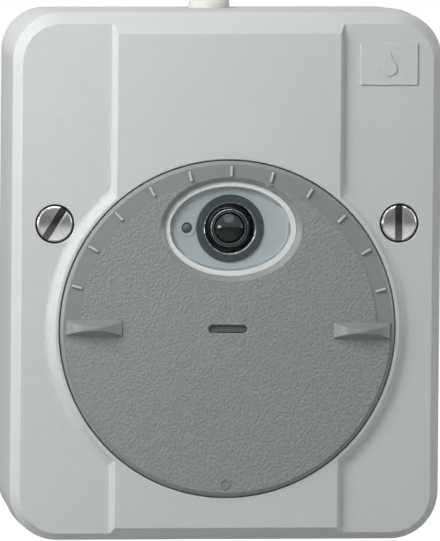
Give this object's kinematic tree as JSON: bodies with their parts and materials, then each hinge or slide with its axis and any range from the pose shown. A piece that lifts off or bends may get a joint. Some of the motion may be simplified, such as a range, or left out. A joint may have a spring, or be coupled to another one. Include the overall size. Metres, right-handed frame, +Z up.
{
  "type": "twilight switch",
  "caption": "Wall mounted twilight switch: bevelled box with raised centre band and a turning grey dial that carries an oval light sensor window, finger grips and scale ribs.",
  "frame": {"origin": "centre of the flat back face, on the wall plane", "axes": "+X to the viewer's right, +Y into the wall, +Z up; the dial faces -Y"},
  "size_m": [0.0852, 0.0343, 0.1058],
  "materials": {
    "light_grey_plastic": "moulded, light grey, satin with a very fine grain",
    "grey_plastic": "moulded, mid grey, fine grain",
    "tray_plastic": "moulded, pale grey, fine grain",
    "dark_plastic": "moulded, dark grey, satin",
    "black_plastic": "moulded, black, satin",
    "clear_plastic": "clear moulded pane",
    "dark_glass": "dark filter glass, polished",
    "smoked_plastic": "smoke tinted lamp resin",
    "nickel_steel": "nickel plated steel, turned head",
    "zinc_steel": "zinc plated steel",
    "brass": "turned brass",
    "grey_rubber": "soft moulded seal",
    "white_rubber": "milky soft seal",
    "black_rubber": "nitrile ring",
    "circuit_board": "green solder mask on glass laminate",
    "terminal_plastic": "green moulded block",
    "relay_plastic": "moulded case",
    "film_plastic": "yellow moulded case",
    "can_aluminium": "drawn can",
    "absorber_lacquer": "dipped lacquer",
    "resistor_ceramic": "lacquered ceramic body"
  },
  "bodies": {
    "housing": {"base_box": "light_grey_plastic", "cover_gasket": "grey_rubber", "front_cover": "light_grey_plastic", "cover_screws": "nickel_steel", "screw_seals": "grey_rubber", "threaded_inserts": "brass", "top_cable_seal": "white_rubber", "bottom_cable_seal": "white_rubber", "main_board": "circuit_board", "board_screws": "zinc_steel", "terminal_block": "terminal_plastic", "terminal_clamps": "brass", "terminal_screws": "zinc_steel", "relay": "relay_plastic", "film_capacitor": "film_plastic", "smoothing_capacitor": "can_aluminium", "surge_absorber": "absorber_lacquer", "board_fuse": "black_plastic", "rectifier": "black_plastic", "control_chip": "black_plastic", "resistors": "resistor_ceramic", "potentiometer_case": "zinc_steel"},
    "dial": {"potentiometer_rotor": "black_plastic", "dial_spindle": "grey_plastic", "spindle_seal": "black_rubber", "spindle_clip": "zinc_steel", "dial_disc": "grey_plastic", "sensor_tray": "tray_plastic", "window_bezel": "light_grey_plastic", "window_pane": "clear_plastic", "sensor_hood": "dark_plastic", "lens_barrel": "black_plastic", "sensor_lens": "dark_glass", "sensor_board": "circuit_board", "photo_sensor": "black_plastic", "indicator_led": "smoked_plastic", "tray_screws": "zinc_steel"}
  },
  "joints": [
    {"name": "dial_turn", "type": "hinge", "parent": "housing", "child": "dial", "pos_m": [0, -0.032, -0.01025], "axis": [0, -1, 0], "range_deg": [-75, 75]}
  ]
}
